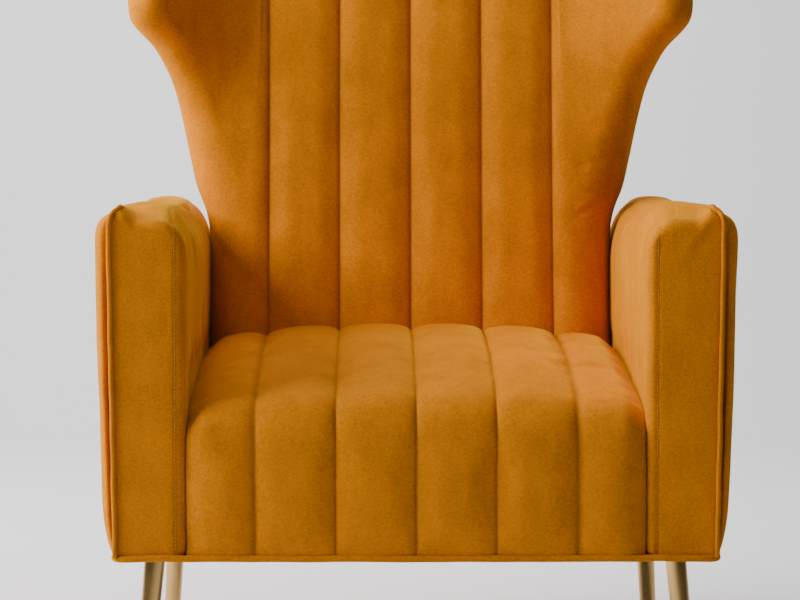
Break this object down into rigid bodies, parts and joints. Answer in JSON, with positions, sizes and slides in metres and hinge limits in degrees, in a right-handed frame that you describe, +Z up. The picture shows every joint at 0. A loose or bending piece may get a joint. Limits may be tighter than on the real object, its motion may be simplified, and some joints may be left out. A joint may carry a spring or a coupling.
{
  "type": "upholstered armchair",
  "caption": "Wing-back velvet armchair with vertically channelled back and seat, straight padded arms and slim splayed brass-coloured metal legs.",
  "frame": {"origin": "on the floor, under the middle of the chair's bounding box", "axes": "+Z up, +Y towards the back of the chair (the sitter faces -Y), +X towards the right arm as seen from the front"},
  "size_m": [0.73, 0.7588, 0.98],
  "materials": {
    "velvet": "short-pile velvet",
    "velvet_welt": "velvet-covered cord",
    "foam": "open-cell polyurethane foam",
    "timber": "sawn, unfinished",
    "fibreboard": "hardboard",
    "brass_leg": "polished brass-coloured plating",
    "foot_plastic": "moulded",
    "steel": "zinc-plated",
    "black_cloth": "non-woven cloth",
    "webbing": "elastic webbing"
  },
  "bodies": {
    "root": {"front_rail": "timber", "rear_rail": "timber", "side_rail_left": "timber", "side_rail_right": "timber", "spring_rail": "timber", "corner_blocks": "timber", "rail_screws": "steel", "leg_front_left": "brass_leg", "leg_front_right": "brass_leg", "leg_rear_left": "brass_leg", "leg_rear_right": "brass_leg", "leg_screws": "steel", "foot_front_left": "foot_plastic", "foot_front_right": "foot_plastic", "foot_rear_left": "foot_plastic", "foot_rear_right": "foot_plastic", "seat_springs": "steel", "spring_clips": "steel", "seat_deck": "black_cloth", "seat_foam": "foam", "seat_cover": "velvet", "arm_front_post_left": "timber", "arm_front_post_right": "timber", "arm_rear_post_left": "timber", "arm_rear_post_right": "timber", "arm_top_rail_left": "timber", "arm_top_rail_right": "timber", "arm_inner_board_left": "fibreboard", "arm_inner_board_right": "fibreboard", "arm_foam_left": "foam", "arm_foam_right": "foam", "arm_cover_left": "velvet", "arm_cover_right": "velvet", "arm_facing_left": "velvet", "arm_facing_right": "velvet", "arm_outside_left": "velvet", "arm_outside_right": "velvet", "arm_welt_left": "velvet_welt", "arm_welt_right": "velvet_welt", "arm_bolts": "steel", "back_post_left": "timber", "back_post_right": "timber", "back_top_rail": "timber", "back_lumbar_rail": "timber", "back_bottom_rail": "timber", "back_webbing": "webbing", "wing_board_left": "timber", "wing_board_right": "timber", "back_foam": "foam", "back_cover": "velvet", "back_outside": "velvet", "back_bolts": "steel", "base_rear_panel": "velvet", "body_welt": "velvet_welt", "dust_cover": "black_cloth", "dust_cover_staples": "steel"}
  },
  "joints": []
}
